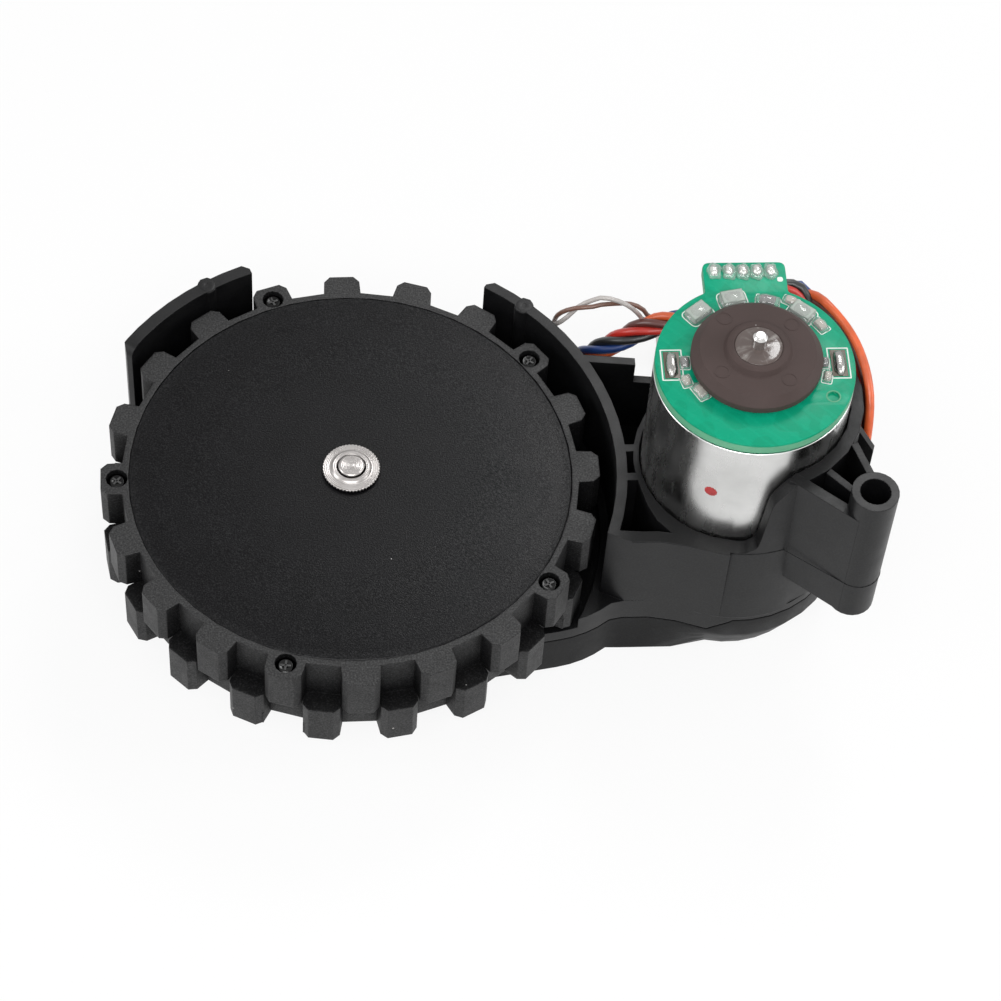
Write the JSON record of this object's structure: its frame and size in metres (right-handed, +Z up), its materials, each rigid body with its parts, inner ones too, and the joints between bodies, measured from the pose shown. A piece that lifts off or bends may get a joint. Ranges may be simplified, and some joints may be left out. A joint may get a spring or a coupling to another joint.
{
  "type": "robot vacuum wheel module",
  "caption": "Drive wheel of a robot vacuum with a lugged rubber tread, carried on a moulded gearbox beside an upright motor with a magnet disc, sensor board and wire harness.",
  "frame": {"origin": "where the wheel's axis meets the flat underside of the lower cover", "axes": "+Z up along the wheel's and the motor's axes, from the underside towards the wheel's cover disc; +X from the wheel's axis to the motor's axis; +Y away from the bracket, towards the board's tab"},
  "size_m": [0.1069, 0.0754, 0.0542],
  "materials": {
    "black_moulding": "fine satin moulded black",
    "black_cover": "fine satin moulded black",
    "satin_disc": "fine spark-textured satin black",
    "rubber": "matt moulded black rubber",
    "gear_plastic": "smooth natural acetal",
    "brass": "cut brass",
    "bronze": "sintered bronze",
    "steel": "turned steel",
    "black_steel": "black oxide",
    "zinc": "bright zinc plate",
    "tin": "tinned, soldered",
    "white_nylon": "smooth off-white nylon",
    "board_green": "gloss green solder mask",
    "sensor_black": "black epoxy",
    "magnet_brown": "matt brown bonded ferrite",
    "wire_red": "smooth insulation",
    "wire_grey": "smooth insulation"
  },
  "bodies": {
    "module": {"housing_frame": "black_moulding", "lower_cover": "black_cover", "cover_screw_1": "zinc", "cover_screw_2": "zinc", "cover_screw_3": "zinc", "cover_screw_4": "zinc", "axle_pin": "steel", "axle_washer": "steel", "hub_bush": "bronze", "second_gear_pin": "steel", "first_gear_pin": "steel", "motor_can": "zinc", "motor_end_bell": "white_nylon", "terminal_left": "tin", "terminal_right": "tin", "encoder_board": "board_green", "hall_sensor_1": "sensor_black", "hall_sensor_2": "sensor_black", "hall_sensor_3": "sensor_black", "wire_bundle": "wire_red", "wire_pair": "wire_grey", "harness_plug": "white_nylon"},
    "wheel": {"tyre": "rubber", "wheel_rim": "black_moulding", "wheel_disc": "satin_disc", "wheel_screw_1": "black_steel", "wheel_screw_2": "black_steel", "wheel_screw_3": "black_steel", "wheel_screw_4": "black_steel", "wheel_screw_5": "black_steel", "output_gear": "gear_plastic"},
    "second_stage": {"second_gear": "gear_plastic"},
    "first_stage": {"first_gear": "gear_plastic"},
    "rotor": {"motor_shaft": "steel", "motor_pinion": "brass", "encoder_magnet": "magnet_brown"}
  },
  "joints": [
    {"name": "wheel_spin", "type": "hinge", "parent": "module", "child": "wheel", "pos_m": [0, 0, 0.0174], "axis": [0, 0, 1], "continuous": true},
    {"name": "second_stage_spin", "type": "hinge", "parent": "module", "child": "second_stage", "pos_m": [0.02596, -0.0015, 0.004], "axis": [0, 0, 1], "continuous": true},
    {"name": "first_stage_spin", "type": "hinge", "parent": "module", "child": "first_stage", "pos_m": [0.04116, 0.00198, 0.0055], "axis": [0, 0, 1], "continuous": true},
    {"name": "rotor_spin", "type": "hinge", "parent": "module", "child": "rotor", "pos_m": [0.053, 0, 0.03], "axis": [0, 0, 1], "continuous": true}
  ],
  "couplings": [
    {"joint": "second_stage_spin", "follows": "wheel_spin", "ratio": -2.6111},
    {"joint": "first_stage_spin", "follows": "wheel_spin", "ratio": 8.7037},
    {"joint": "rotor_spin", "follows": "wheel_spin", "ratio": -26.111}
  ]
}
